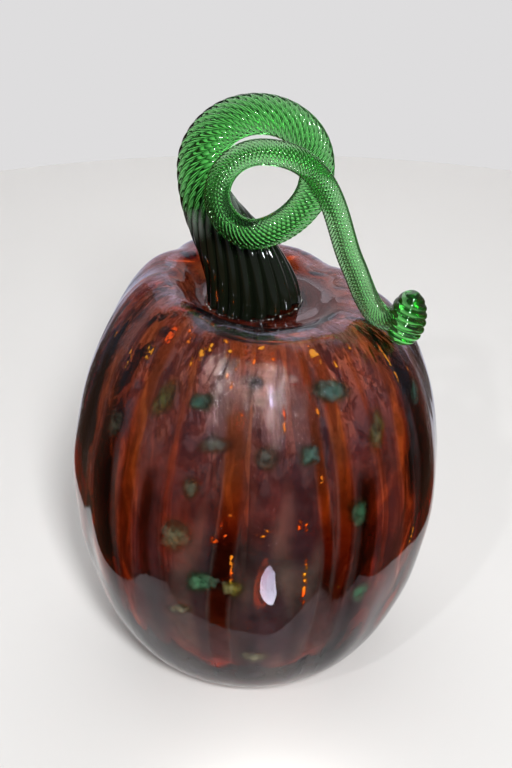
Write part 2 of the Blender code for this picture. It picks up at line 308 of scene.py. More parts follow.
@dataclass(frozen=True)
class AmberBlownGlass:
    """Blown amber soda-lime glass with brown and mauve powder rolled into the skin.

    To the eye it is deep red-brown where the powder lies thick, clear orange along the grooves
    where the mould pressed the wall thin, and under a faint grey-violet metal haze, which the hot
    glass takes from tin fumes. Stray bits of frit leave soft milky spots in it. Painted light is in it
    too: painted shade in the dark bands, over the dished top and under the stem, a painted orange glow
    near the foot, and painted glints among the orange flecks.
    """

    clear: str = "#FFFAF0"
    brown: str = "#AE8C80"
    mauve: str = "#9E828C"
    # The dark bands' colour: thick powder, and painted shade.
    dark: str = "#2C2622"
    # Painted orange glow near the foot, partly opaque, standing in for light seen through the base.
    foot: str = "#94502E"
    thinner_back: float = 0.32
    rust: str = "#FCE4D0"
    # Painted shade and grey reflection: a darker, greyer tint over the dished top.
    dish: str = "#8C7678"
    # Painted shade: a dark tint on the glass under the stem's foot.
    under_stem_shade: str = "#302A20"
    # Colour of the orange flecks, among them painted glints of light.
    gold: str = "#FFA82A"
    ember: str = "#FF5E1C"
    absorbed: tuple[float, float, float] = (43.0, 228.0, 450.0)
    milkiness: float = 0.32
    powder_veil: float = 0.038
    roughness: float = 0.015
    ior: float = 1.5
    sheen_tint: str = "#625C78"
    haze: float = 0.6
    haze_roughness: float = 0.07
    haze_tint: str = "#C0C6FF"
    peel_size: float = 0.0010
    coat_peel: float = 0.00032
    skin_peel: float = 0.00001
    mottle_size: float = 0.008
    cloud_size: float = 0.00238095
    ragged_size: float = 0.00222222
    ember_size: float = 0.02
    dish_rim: float = 0.125
    dish_floor: float = 0.095
    # Where the painted glow near the foot starts and where it is full.
    foot_glow_start: float = 0.74
    foot_glow_full: float = 0.92
    haze_end: float = 0.46

    def make(self) -> Material:
        """Makes the material. It reads the attributes that the body's mesh carries.

        Returns:
            The material.
        """
        material, tree, shader = new_material("amber_blown_glass")
        flow = add(tree, "Attribute", attribute_name="flow")["Vector"]
        form = add(tree, "Attribute", attribute_name="form")["Vector"]
        parts = add(tree, "SeparateXYZ", {0: form})
        along = add(tree, "SeparateXYZ", {0: flow})["Z"]
        skin = add(tree, "Attribute", attribute_name="skin")["Fac"]
        place = add(tree, "TexCoord")["Object"]

        colour = self.powder(tree, place, flow, parts["X"], parts["Y"])
        fan = self.fan(tree, flow, along)
        dished = add(tree, "MapRange", {0: along, 1: self.dish_rim, 2: self.dish_floor}, **SOFT)[0]
        low = add(tree, "MapRange", {0: along, 1: self.foot_glow_start, 2: self.foot_glow_full}, **SOFT)[0]
        for share, tone in (
            (fan, self.clear),
            # Painted shade and grey reflection over the dished top.
            (dished, self.dish),
            # Painted shade under the stem.
            (parts["Z"], self.under_stem_shade),
            # Painted orange glow near the foot.
            (low, self.foot),
        ):
            colour = add(tree, "Mix", {0: share, 6: colour, 7: linear(tone)}, data_type="RGBA")[2]
        # Orange flecks in the glass, among them painted glints.
        gold = add(tree, "Attribute", attribute_name="gold")["Fac"]
        ragged = add(tree, "TexNoise",
                     {"Vector": place, "Scale": 1.0 / self.ragged_size, "Detail": 2.0})["Fac"]
        ragged = add(tree, "MapRange", {0: ragged, 1: 0.40, 2: 0.58, 3: 0.06, 4: 1.0})[0]
        gold = add(tree, "Math", {0: gold, 1: ragged}, operation="MULTIPLY")[0]
        ember = add(tree, "TexNoise", {"Vector": place, "Scale": 1.0 / self.ember_size})["Fac"]
        ember = add(tree, "MapRange", {0: ember, 1: 0.42, 2: 0.58})[0]
        ember = add(tree, "Mix", {0: ember, 6: linear(self.gold), 7: linear(self.ember)},
                    data_type="RGBA")[2]
        fleck = add(tree, "MapRange", {0: gold, 1: 0.08, 2: 0.40})[0]
        colour = add(tree, "Mix", {0: fleck, 6: colour, 7: ember}, data_type="RGBA")[2]
        milk = add(tree, "Attribute", attribute_name="milk")
        mottle = add(tree, "TexNoise",
                     {"Vector": place, "Scale": 1.0 / self.cloud_size, "Detail": 3.0})["Fac"]
        cloud = add(tree, "MapRange", {0: mottle, 1: 0.3, 2: 0.65, 3: 0.35, 4: 1.0})[0]
        spot = add(tree, "Math", {0: milk["Alpha"], 1: cloud}, operation="MULTIPLY")[0]
        tint = add(tree, "MapRange", {0: milk["Alpha"], 1: 0.0, 2: 0.6, 3: 0.0, 4: 0.85}, **SOFT)[0]
        colour = add(tree, "Mix", {0: tint, 6: colour, 7: milk["Color"]}, data_type="RGBA")[2]
        # The strongest flecks and painted glints are partly opaque.
        solid = add(tree, "MapRange", {0: gold, 1: 0.3, 2: 0.9, 3: 0.0, 4: 0.6})[0]
        # The painted glow near the foot is partly opaque.
        low = add(tree, "Math", {0: low, 1: 0.2}, operation="MULTIPLY")[0]
        milky = add(tree, "MapRange", {0: spot, 1: 0.25, 2: 1.0, 3: 0.0, 4: self.milkiness})[0]
        for cover in (low, milky, self.veil(tree, parts, along)):
            solid = add(tree, "Math", {0: solid, 1: cover}, operation="MAXIMUM")[0]
        open_glass = add(tree, "Math", {0: 1.0, 1: solid}, operation="SUBTRACT")[0]
        haze = add(tree, "MapRange", {0: along, 1: 0.28, 2: self.haze_end, 3: self.haze, 4: 0.0}, **SOFT)[0]
        for share in (skin, add(tree, "MapRange", {0: dished, 3: 1.0, 4: 0.15})[0]):
            haze = add(tree, "Math", {0: haze, 1: share}, operation="MULTIPLY")[0]
        peel = add(tree, "TexNoise", {"Vector": place, "Scale": 1.0 / self.peel_size, "Detail": 2.0})["Fac"]
        fine = add(tree, "Bump", {"Strength": 1.0, "Distance": self.coat_peel, "Height": peel})[0]
        coarse = add(tree, "Bump", {"Strength": 1.0, "Distance": self.skin_peel, "Height": peel})[0]
        feed(tree, shader, {
            "Base Color": colour,
            "Transmission Weight": open_glass,
            "Coat Weight": haze,
            "Coat Normal": fine,
            "Normal": coarse,
            "Roughness": self.roughness,
            "IOR": self.ior,
            "Coat Roughness": self.haze_roughness,
            "Coat IOR": 1.5,
            "Coat Tint": linear(self.haze_tint),
            "Specular Tint": linear(self.sheen_tint),
        })
        absorb(tree, self.absorbed)
        return material

    def powder(self, tree: NodeTree, place: NodeSocket, flow: NodeSocket,
               clear: NodeSocket, band: NodeSocket) -> NodeSocket:
        """The powder's colour: brown and mauve clouds, dark bands of thick powder and painted shade,
        and clear streaks.

        Args:
            tree: the material's node tree.
            place: where a point is, in metres.
            flow: where a point is, stretched along the blow.
            clear: 1 in the middle of a clear streak.
            band: 1 in the middle of a dark band, which is thick powder and painted shade.

        Returns:
            The colour.
        """
        patches = add(tree, "TexNoise", {"Vector": flow, "Scale": 2.6, "Detail": 4.0})["Fac"]
        cloudy = add(tree, "MapRange", {0: patches, 1: 0.42, 2: 0.58})[0]
        powder = add(tree, "Mix", {0: cloudy, 6: linear(self.brown), 7: linear(self.mauve)},
                     data_type="RGBA")[2]
        stretch = add(tree, "VectorMath", {0: flow, 1: (3.0, 3.0, 3.6)}, operation="MULTIPLY")[0]
        bands = add(tree, "TexNoise", {"Vector": stretch, "Scale": 1.0, "Detail": 2.0})["Fac"]
        warm = add(tree, "MapRange", {0: bands, 1: 0.50, 2: 0.66}, **SOFT)[0]
        powder = add(tree, "Mix", {0: warm, 6: powder, 7: linear(self.rust)}, data_type="RGBA")[2]
        # Dark bands: thick powder, and painted shade.
        deep = add(tree, "Math", {0: bands, 1: 0.5, 2: band}, operation="MULTIPLY_ADD")[0]
        deep = add(tree, "MapRange", {0: deep, 1: 0.45, 2: 1.15, 3: 0.0, 4: 1.0}, **SOFT)[0]
        powder = add(tree, "Mix", {0: deep, 6: powder, 7: linear(self.dark)}, data_type="RGBA")[2]
        wander = add(tree, "TexNoise", {"Vector": stretch, "Scale": 2.4, "Detail": 2.0})["Fac"]
        bent = add(tree, "Math", {0: wander, 1: 0.3, 2: clear}, operation="MULTIPLY_ADD")[0]
        thin = add(tree, "MapRange", {0: bent, 1: 0.50, 2: 0.80}, **SOFT)[0]
        powder = add(tree, "Mix", {0: thin, 6: powder, 7: linear(self.clear)}, data_type="RGBA")[2]
        grain = add(tree, "TexNoise",
                    {"Vector": place, "Scale": 1.0 / self.mottle_size, "Detail": 3.0})["Fac"]
        grain = add(tree, "MapRange", {0: grain, 1: 0.35, 2: 0.6, 3: 0.6, 4: 1.0})[0]
        powder = add(tree, "VectorMath", {0: powder, 1: grain}, operation="MULTIPLY")[0]
        back = add(tree, "SeparateXYZ", {0: flow})["Y"]
        back = add(tree, "MapRange", {0: back, 1: -0.2, 2: 0.7, 3: 0.0, 4: self.thinner_back})[0]
        return add(tree, "Mix", {0: back, 6: powder, 7: linear(self.clear)}, data_type="RGBA")[2]

    def veil(self, tree: NodeTree, parts: NodeOutputs, along: NodeSocket) -> NodeSocket:
        """How much light the powder scatters: none in streaks, bands and foot, little in the dish.

        Args:
            tree: the material's node tree.
            parts: the clear streaks as X and the dark bands as Y.
            along: the share of the way down the skin.

        Returns:
            The share that is scattered.
        """
        veil = add(tree, "MapRange", {0: parts["X"], 3: self.powder_veil, 4: 0.0})[0]
        for value, start, end, first, last in (
            (parts["Y"], 0.0, 0.7, 1.0, 0.0),
            (along, 0.10, 0.26, 0.1, 1.0),
            (along, 0.60, 0.84, 1.0, 0.0),
        ):
            share = add(tree, "MapRange", {0: value, 1: start, 2: end, 3: first, 4: last})[0]
            veil = add(tree, "Math", {0: veil, 1: share}, operation="MULTIPLY")[0]
        return veil

    def fan(self, tree: NodeTree, flow: NodeSocket, along: NodeSocket) -> NodeSocket:
        """Fine clear streaks that fan out from the dished top and fade below the shoulder.

        Args:
            tree: the material's node tree.
            flow: where a point is, stretched along the blow.
            along: the share of the way down the skin.

        Returns:
            How clear the glass is.
        """
        stretch = add(tree, "VectorMath", {0: flow, 1: (9.0, 9.0, 22.0)}, operation="MULTIPLY")[0]
        fine = add(tree, "TexNoise", {"Vector": stretch, "Scale": 1.2, "Detail": 2.5, "Roughness": 0.5,
                                      "Distortion": 1.2})["Fac"]
        threads = add(tree, "MapRange", {0: fine, 1: 0.47, 2: 0.54}, **SOFT)[0]
        high = add(tree, "MapRange", {0: along, 1: 0.40, 2: 0.20, 3: 0.05, 4: 0.95})[0]
        return add(tree, "Math", {0: threads, 1: high}, operation="MULTIPLY")[0]


def absorb(tree: NodeTree, per_metre: tuple[float, float, float]) -> None:
    """Gives a glass its colour in depth.

    The density is a little over the strongest of the three, so that no colour is cut to 0.

    Args:
        tree: the material's node tree.
        per_metre: how strongly red, green and blue are swallowed, per metre of glass.
    """
    density = max(per_metre) * HEADROOM
    colour = tuple(1.0 - value / density for value in per_metre) + (1.0,)
    volume = add(tree, "VolumeAbsorption", {"Color": colour, "Density": density})
    tree.links.new(volume[0], tree.nodes["Material Output"].inputs["Volume"])


@dataclass(frozen=True)
class GreenRibbedGlass:
    """Solid green glass, gathered in a ribbed mould and twisted while hot.

    To the eye it is bright leaf green where it bends the light of a pale wall, with the back ribs
    showing through the front ones as a net, and near black where the dark body lies behind. The
    rib valleys carry painted shade, a darker green, and the stump painted shade, near black.
    """

    absorbed: tuple[float, float, float] = (98.0, 8.0, 98.0)
    paler: tuple[str, str] = ("#D5F0D0", "#FFFFFF")
    # Painted shade in the rib valleys: a darker green where the ribs crease.
    valley: str = "#1C5E28"
    # Painted shade: the stump's near-black colour, with little light let through.
    stump: str = "#0E120A"
    cord_size: float = 0.00625
    roughness: float = 0.03
    ior: float = 1.5

    def make(self) -> Material:
        """Makes the material. It reads the tone attribute of the stem's mesh.

        Returns:
            The material.
        """
        material, tree, shader = new_material("green_ribbed_glass")
        place = add(tree, "TexCoord")["Object"]
        cords = add(tree, "TexNoise",
                    {"Vector": place, "Scale": 1.0 / self.cord_size, "Detail": 3.0})["Fac"]
        colour = linear(self.paler[0])
        tone = add(tree, "Attribute", attribute_name="tone")["Vector"]
        tone = add(tree, "SeparateXYZ", {0: tone})
        # Rib valleys take the valley colour as painted shade; the stump takes its near-black colour as
        # painted shade.
        for share, over in ((cords, self.paler[1]), (tone["X"], self.valley), (tone["Y"], self.stump)):
            colour = add(tree, "Mix", {0: share, 6: colour, 7: linear(over)}, data_type="RGBA")[2]
        # The stump's painted shade lets little light through.
        open_glass = add(tree, "MapRange", {0: tone["Y"], 1: 0.5, 2: 1.0, 3: 1.0, 4: 0.04})[0]
        feed(tree, shader, {
            "Base Color": colour,
            "Transmission Weight": open_glass,
            "Roughness": self.roughness,
            "IOR": self.ior,
        })
        absorb(tree, self.absorbed)
        return material


@dataclass(frozen=True)
class FusedJoint:
    """The hot join of green on amber glass, where no light gets through: opaque, and near black as painted
    shade.

    To the eye it is the near-black bottom of the stump.
    """

    tones: tuple[str, str] = ("#0C120A", "#2A1C0C")
    blend_size: float = 0.00333333
    roughness: float = 0.35

    def make(self) -> Material:
        """Makes the material.

        Returns:
            The material.
        """
        material, tree, shader = new_material("fused_joint")
        place = add(tree, "TexCoord")["Object"]
        blend = add(tree, "TexNoise",
                    {"Vector": place, "Scale": 1.0 / self.blend_size, "Detail": 3.0})["Fac"]
        colour = add(tree, "Mix", {0: blend, 6: linear(self.tones[0]), 7: linear(self.tones[1])},
                     data_type="RGBA")[2]
        feed(tree, shader, {"Base Color": colour, "Roughness": self.roughness})
        return material


@dataclass(frozen=True)
class SeamGlass:
    """Clear glass full of tiny gas seeds, squeezed out of the join.

    To the eye it is a thin broken line of white sparks round the stem's foot: painted glints, as
    opaque white specks on the seeds.
    """

    clear: str = "#4C4A34"
    seed_glint: str = "#F4F4F0"
    seed_size: float = 0.0012
    roughness: float = 0.08
    ior: float = 1.5

    def make(self) -> Material:
        """Makes the material.

        Returns:
            The material.
        """
        material, tree, shader = new_material("seam_glass")
        place = add(tree, "TexCoord")["Object"]
        seeds = add(tree, "TexNoise",
                    {"Vector": place, "Scale": 1.0 / self.seed_size, "Detail": 2.0})["Fac"]
        # Painted glints: opaque white specks where the seeds catch the light.
        seed_glint = add(tree, "MapRange", {0: seeds, 1: 0.60, 2: 0.66}, **SOFT)[0]
        colour = add(tree, "Mix", {0: seed_glint, 6: linear(self.clear), 7: linear(self.seed_glint)},
                     data_type="RGBA")[2]
        open_glass = add(tree, "Math", {0: 1.0, 1: seed_glint}, operation="SUBTRACT")[0]
        feed(tree, shader, {
            "Base Color": colour,
            "Transmission Weight": open_glass,
            "Roughness": self.roughness,
            "IOR": self.ior,
        })
        return material


@dataclass(frozen=True)
class FritGlass:
    """Half opaque coloured glass bits, melted flat into the skin.

    Each is milky and mottled in its middle and goes clear towards its rim, so it has a soft edge.
    """

    kind: FritKind
    rim: str = "#F4F8F0"
    mottle_size: float = 0.004
    ior: float = 1.06
    roughness: float = 0.12

    def make(self) -> Material:
        """Makes the material. It reads the rim attribute of a bit's mesh.

        Returns:
            The material.
        """
        slot, deep, milky = self.kind.value
        material, tree, shader = new_material("frit_" + slot)
        place = add(tree, "TexCoord")["Object"]
        mottle = add(tree, "TexNoise",
                     {"Vector": place, "Scale": 1.0 / self.mottle_size, "Detail": 3.0})["Fac"]
        tone = add(tree, "MapRange", {0: mottle, 1: 0.4, 2: 0.62})[0]
        colour = add(tree, "Mix", {0: tone, 6: linear(deep), 7: linear(milky)}, data_type="RGBA")[2]
        rim = add(tree, "Attribute", attribute_name="rim")["Fac"]
        worn = add(tree, "Math", {0: mottle, 1: 0.5, 2: rim}, operation="MULTIPLY_ADD")[0]
        open_edge = add(tree, "MapRange", {0: worn, 1: 0.55, 2: 1.15, 3: 0.86, 4: 0.99}, **SOFT)[0]
        thin = add(tree, "MapRange", {0: worn, 1: 0.4, 2: 1.1}, **SOFT)[0]
        colour = add(tree, "Mix", {0: thin, 6: colour, 7: linear(self.rim)}, data_type="RGBA")[2]
        feed(tree, shader, {
            "Base Color": colour,
            "Transmission Weight": open_edge,
            "Roughness": self.roughness,
            "IOR": self.ior,
        })
        return material


@dataclass(frozen=True)
class PalePaint:
    """Matt emulsion paint on the floor. To the eye it is a plain warm off-white."""

    colour: str = "#D8D4CF"
    roughness: float = 0.7

    def make(self) -> Material:
        """Makes the material.

        Returns:
            The material.
        """
        material, tree, shader = new_material("pale_floor")
        feed(tree, shader, {
            "Base Color": linear(self.colour),
            "Roughness": self.roughness,
            "Specular IOR Level": 0.2,
        })
        return material


@dataclass(frozen=True)
class PaleWall:
    """Pale backdrop card, which the glass shows and mirrors.

    The camera looks through it, so that it hides nothing from behind; there the world is as pale.
    """

    colour: str
    roughness: float = 0.7

    def make(self) -> Material:
        """Makes the material.

        Returns:
            The material.
        """
        material, tree, shader = new_material("pale_wall")
        feed(tree, shader, {"Base Color": linear(self.colour), "Roughness": self.roughness})
        path = add(tree, "LightPath")
        seen = add(tree, "Math", {0: path["Is Glossy Ray"], 1: path["Is Transmission Ray"]},
                   operation="MAXIMUM")[0]
        light = add(tree, "Emission", {"Color": linear(self.colour), "Strength": 1.0})[0]
        both = add(tree, "MixShader", {0: seen, 1: shader.outputs[0], 2: light})[0]
        clear = add(tree, "BsdfTransparent")[0]
        both = add(tree, "MixShader", {0: path["Is Camera Ray"], 1: both, 2: clear})[0]
        tree.links.new(both, tree.nodes["Material Output"].inputs["Surface"])
        return material


@dataclass(frozen=True)
class Streak:
    """One long mark in the glass that runs down the body.

    Its azimuth and width are in degrees, and it runs between two shares of the way down the skin.
    """

    azimuth: float
    width: float
    top: float = 0.10
    bottom: float = 0.95
    strength: float = 1.0
    fade: float = 0.2
    sway: float = radians(2.2)
    first_seed: int = 400

    def at(self, azimuth: np.ndarray, along: np.ndarray) -> np.ndarray:
        """Draws the streak.

        Args:
            azimuth: angles from the front.
            along: shares of the way down the skin.

        Returns:
            How strong the streak is at each point.
        """
        waves = SlowWaves(int(self.azimuth) + self.first_seed, (0, 0), 2.5, 5)
        wander = self.sway * waves.at(azimuth * 0.0, along)
        away = azimuth - radians(self.azimuth) - wander
        away = np.abs(np.arctan2(np.sin(away), np.cos(away))) / radians(self.width / 2)
        start = smooth(along, self.top - 0.03, self.top + 0.05)
        ends = start * (1.0 - smooth(along, self.bottom - self.fade, self.bottom))
        return self.strength * (1.0 - smooth(away, 0.55, 1.25)) * ends


@dataclass(frozen=True)
class GoldMark:
    """One small orange or yellow mark, used for flecks in the glass and for painted glints of light.

    Its azimuth and width are in degrees, its place and length in shares of the way down the skin.
    """

    azimuth: float
    along: float
    width: float
    length: float

    def at(self, azimuth: np.ndarray, along: np.ndarray) -> np.ndarray:
        """Draws the mark.

        Args:
            azimuth: angles from the front.
            along: shares of the way down the skin.

        Returns:
            How strong the mark is at each point.
        """
        away = azimuth - radians(self.azimuth)
        away = np.abs(np.arctan2(np.sin(away), np.cos(away))) / radians(self.width / 2)
        down = np.abs(along - self.along) / (self.length / 2)
        return (1.0 - smooth(away, 0.4, 1.0)) * (1.0 - smooth(down, 0.5, 1.0))


def scattered_marks(seed: int, count: int) -> tuple[GoldMark, ...]:
    """Flecks for the sides and the back, which the photograph does not show.

    Args:
        seed: picks one of the possible layouts.
        count: how many flecks.

    Returns:
        The flecks.
    """
    draw = np.random.default_rng(seed)
    marks = []
    for _ in range(count):
        azimuth = round(draw.uniform(55.0, 305.0))
        long = draw.random() < 0.25
        length = draw.uniform(0.05, 0.11) if long else draw.uniform(0.010, 0.025)
        marks.append(GoldMark(azimuth, draw.uniform(0.16, 0.55), 2.2, length))
    return tuple(marks)


# Listed marks at the front are orange flecks, among them painted glints where light catches the glass;
# scattered_marks adds flecks round the sides and back.
FLECKS_AND_GLINTS = tuple(GoldMark(*row) for row in (
    (-48, 0.205, 4.0, 0.030), (-36, 0.153, 3.0, 0.014), (-10, 0.183, 2.4, 0.022),
    (-7, 0.160, 2.4, 0.022), (-11, 0.212, 2.4, 0.020), (-13, 0.200, 2.4, 0.012),
    (20, 0.249, 2.4, 0.024), (8, 0.255, 2.0, 0.050), (-6, 0.249, 2.4, 0.010),
    (-10, 0.415, 2.4, 0.010), (-8, 0.403, 2.6, 0.011), (-12, 0.440, 2.8, 0.012),
    (-23, 0.448, 2.6, 0.010), (-9, 0.432, 2.2, 0.008), (12, 0.415, 2.2, 0.020),
    (14, 0.420, 2.0, 0.018), (-7, 0.488, 2.2, 0.075), (14, 0.515, 2.2, 0.120),
    (1, 0.428, 4.0, 0.008), (3, 0.420, 3.0, 0.006), (-18, 0.358, 3.0, 0.010),
    (19, 0.350, 2.2, 0.016), (24, 0.543, 4.0, 0.008), (43, 0.165, 3.0, 0.012),
    (32, 0.185, 2.4, 0.020), (26, 0.170, 2.4, 0.026), (-28, 0.190, 2.4, 0.024),
    (-22, 0.165, 2.6, 0.018), (-56, 0.235, 3.0, 0.030), (5, 0.165, 2.4, 0.018),
    (-43, 0.172, 4.0, 0.034), (-33, 0.165, 3.5, 0.022), (-17, 0.152, 6.0, 0.009),
    (-14, 0.168, 3.0, 0.018), (-3, 0.170, 2.6, 0.024), (24, 0.158, 5.0, 0.030),
    (-25, 0.178, 3.2, 0.026), (0, 0.151, 5.0, 0.008), (17, 0.155, 4.0, 0.010),
)) + scattered_marks(5, 46)
CLEAR_STREAKS = tuple(Streak(*row) for row in (
    (-63, 7, 0.1, 0.95, 0.8), (-43, 7), (-10, 8), (-3, 3, 0.1, 0.6, 0.8), (19, 4.5),
    (25, 6.5), (54, 8), (83, 7), (112, 8), (144, 7), (172, 8),
    (-156, 7), (-127, 8), (-96, 7), (40, 3, 0.12, 0.7, 0.8), (-27, 3.5, 0.1, 0.7, 0.8),
))
# Dark bands of thick powder which also carry painted shade.
POWDER_AND_SHADE_BANDS = tuple(Streak(*row) for row in (
    (-53, 10), (-4, 7, 0.6, 1.0, 0.4), (32, 6, 0.35, 0.85, 0.8), (64, 9),
    (-72, 7, 0.1, 0.95, 0.7), (94, 8, 0.1, 0.95, 0.8), (122, 6, 0.2, 0.9, 0.5),
    (155, 6, 0.3, 0.95, 0.5), (-166, 6, 0.2, 0.8, 0.5), (-137, 6, 0.3, 0.95, 0.5),
    (-107, 8, 0.1, 0.95, 0.8), (12, 4, 0.5, 0.95, 0.3), (-34, 5, 0.35, 0.95, 0.6),
))


@dataclass
class BlownBody:
    """The hollow lobed body: skin, dished top, flat foot and uneven inner wall."""

    diameter: float = 0.150
    height: float = 0.165
    equator: float = 0.084
    foot_radius: float = 0.039
    crest_radius: float = 0.037
    seat_height: float = 0.158
    seat_radius: float = 0.021
    wall: float = 0.0045
    base_wall: float = 0.007
    neck_hole_radius: float = 0.008
    foot_fullness: float = 0.018
    lower_fullness: float = 0.0425
    upper_fullness: float = 0.038
    crest_fullness: float = 0.0185
    dish_fullness: float = 0.008
    lobes: int = 12
    lobe_turn: float = radians(7)
    groove_depth: float = 0.0013
    crest_groove_depth: float = 0.0015
    crest_drop_front: float = 0.002
    crest_drop_right: float = 0.0055
    rim_dip: float = 0.003
    rim_dip_at: float = radians(141)
    rim_dip_spread: float = radians(20)
    lean: float = 0.004
    around: int = 360
    flank_steps: int = 110
    dish_steps: int = 40
    floor_steps: int = 14
    seat_steps: int = 8
    foot_steps: int = 10
    ripples: SlowWaves = SlowWaves(11, (24, 70), 0.8)
    ripple_depth: float = 0.00010
    waves: SlowWaves = SlowWaves(17, (6, 26), 5.0)
    wave_depth: float = 0.00034
    lumps: SlowWaves = SlowWaves(23, (2, 16), 2.2)
    lump_depth: float = 0.0005
    glints: SlowWaves = SlowWaves(29, (10, 40), 9.0, 30)
    glint_depth: float = 0.00010
    rib_depth: float = 0.0009

    def half_outline(self, inset: float, floor: float) -> tuple[np.ndarray, np.ndarray, np.ndarray]:
        """The half section's curves as rows of radius and height, set in from the skin.

        Args:
            inset: how far in from the skin.
            floor: height of the lowest points.

        Returns:
            The lower flank, the upper flank and the dish, each from below or outside inwards.
        """
        widest = (self.diameter / 2 - inset, self.equator)
        foot = self.foot_radius - inset
        crest = (self.crest_radius, self.height - inset)
        seat = self.seat_height - inset
        lower = bezier((foot, floor), (foot + self.foot_fullness, floor),
                       (widest[0], self.equator - self.lower_fullness), widest, self.flank_steps)
        upper = bezier(widest, (widest[0], self.equator + self.upper_fullness),
                       (self.crest_radius + self.crest_fullness, crest[1]), crest, self.flank_steps)
        dish = bezier(crest, (self.crest_radius - self.dish_fullness, crest[1]),
                      (self.seat_radius + self.dish_fullness, seat),
                      (self.seat_radius, seat), self.dish_steps)
        return lower, upper, dish

    def groove(self, azimuth: np.ndarray) -> np.ndarray:
        """0 along the middle of a lobe and 1 along a groove."""
        return (1.0 - np.cos(self.lobes * (azimuth - self.lobe_turn))) / 2

    def set_by_hand(self, radius: np.ndarray, azimuth: np.ndarray, height: np.ndarray) -> np.ndarray:
        """Where points of the plain turned shape end up once the lobes and the lean are in.

        Args:
            radius: distances from the axis.
            azimuth: angles from the front towards the right.
            height: heights above the foot.

        Returns:
            The points, with x, y and z along the last axis.
        """
        rise = np.clip((height - self.equator) / (self.height - self.equator), 0.0, 1.0)
        outside_seat = smooth(radius, self.seat_radius, self.crest_radius)
        off_foot = smooth(height, 0.0, self.equator)
        groove = self.groove(azimuth)
        press = mix(self.groove_depth * off_foot, self.crest_groove_depth, rise ** 2) * outside_seat
        reach = radius - press * groove
        from_dip = np.arctan2(np.sin(azimuth - self.rim_dip_at), np.cos(azimuth - self.rim_dip_at))
        dip = self.rim_dip * smooth(-np.abs(from_dip), -2 * self.rim_dip_spread, 0.0)
        tilt = self.crest_drop_front * np.cos(azimuth) + self.crest_drop_right * np.sin(azimuth)
        drop = (tilt + dip) * rise ** 2 * outside_seat
        notch = self.crest_groove_depth / 2 * groove * rise ** 4 * outside_seat
        lean = self.lean * (height - self.equator) / self.height * smooth(radius, 0.0, self.seat_radius)
        return np.stack((reach * np.sin(azimuth) + lean, -reach * np.cos(azimuth),
                         height - drop - notch), axis=-1)

    def section(self) -> tuple[np.ndarray, np.ndarray]:
        """The closed section, from the middle of the foot's inside round to its outside.

        Returns:
            Rows of radius and height, and for each row 0 on the inner wall and 1 on the skin.
        """
        lower, upper, dish = self.half_outline(self.wall, self.base_wall)
        floor = np.linspace(0.0, lower[0, 0], self.floor_steps)[1:-1]
        inner = np.vstack((np.stack((floor, np.full_like(floor, self.base_wall)), 1),
                           lower, upper[1:], dish[1:],
                           [[self.neck_hole_radius, self.seat_height - self.wall]]))
        lower, upper, dish = self.half_outline(0.0, 0.0)
        seat = np.linspace(self.neck_hole_radius, self.seat_radius, self.seat_steps)[:-1]
        foot = np.linspace(self.foot_radius, 0.0, self.foot_steps)[1:-1]
        outer = np.vstack((np.stack((seat, np.full_like(seat, self.seat_height)), 1),
                           dish[::-1], upper[::-1][1:], lower[::-1][1:],
                           np.stack((foot, np.zeros_like(foot)), 1)))
        skin = np.concatenate((np.zeros(len(inner)), np.ones(len(outer))))
        return np.vstack((inner, outer)), skin

    def uneven(self, radius: np.ndarray, azimuth: np.ndarray, height: np.ndarray,
               skin: np.ndarray) -> np.ndarray:
        """How far points move outward for the ripples of the skin and the lumps of the inner wall.

        Args:
            radius: distances from the axis.
            azimuth: angles from the front.
            height: heights of the plain section.
            skin: 1 on the skin and 0 on the inner wall.

        Returns:
            Distances outward, in metres.
        """
        along = height / self.height
        free = smooth(height, 0.002, 0.03)
        free = free * smooth(radius, self.crest_radius - 0.002, self.crest_radius + 0.008)
        ripple = self.ripples.at(azimuth, along) * self.ripple_depth * smooth(along, 0.35, 0.95)
        ripple = ripple + self.waves.at(azimuth, along) * self.wave_depth
        lumps = self.lumps.at(azimuth, along) * self.lump_depth
        lumps = lumps + self.glints.at(azimuth, along) * self.glint_depth
        ribs = -self.rib_depth * (1.0 - self.groove(azimuth)) * smooth(along, 0.1, 0.5)
        return free * np.where(skin > 0.5, ripple, lumps + ribs)

    def build(self, finish: Material, bits: list["FritBit"]) -> Object:
        """Makes the body's mesh with the attributes that its finish reads.

        Args:
            finish: the body's material.
            bits: the bits of frit, each of which clouds the glass round it.

        Returns:
            The body.
        """
        rows, skin = self.section()
        turn = np.linspace(-pi, pi, self.around, endpoint=False)
        radius, azimuth = np.meshgrid(rows[:, 0], turn, indexing="ij")
        height = np.broadcast_to(rows[:, 1][:, None], radius.shape)
        side = np.broadcast_to(skin[:, None], radius.shape)
        moved = radius + self.uneven(radius, azimuth, height, side)
        points = self.set_by_hand(moved, azimuth, height).reshape(-1, 3)
        steps = np.concatenate(([0.0], np.cumsum(np.hypot(*np.diff(rows, axis=0).T))))
        start = steps[int(np.argmax(skin))]
        share = np.where(skin > 0.5, (steps - start) / (steps[-1] - start), 1.0 - steps / start)
        count = len(points)
        top = np.array([[0.0, 0.0, self.base_wall], [0.0, 0.0, 0.0]])
        verts = np.vstack((points, top))
        faces = grid_faces(len(rows), self.around, flip=True)
        last = (len(rows) - 1) * self.around
        for point in range(self.around):
            after = (point + 1) % self.around
            faces.append((point, after, count))
            faces.append((last + after, last + point, count + 1))
        body = mesh_piece("body_glass", verts, faces, finish)
        down = np.broadcast_to(share[:, None], radius.shape)
        flow = np.stack((np.sin(azimuth), -np.cos(azimuth), down), -1).reshape(-1, 3)
        flow = np.vstack((flow, [[0.0, -1.0, 1.0], [0.0, -1.0, 1.0]]))
        clear = np.max([streak.at(azimuth, down) for streak in CLEAR_STREAKS], axis=0)
        # The dark bands: thick powder and painted shade.
        band = np.max([streak.at(azimuth, down) for streak in POWDER_AND_SHADE_BANDS], axis=0)
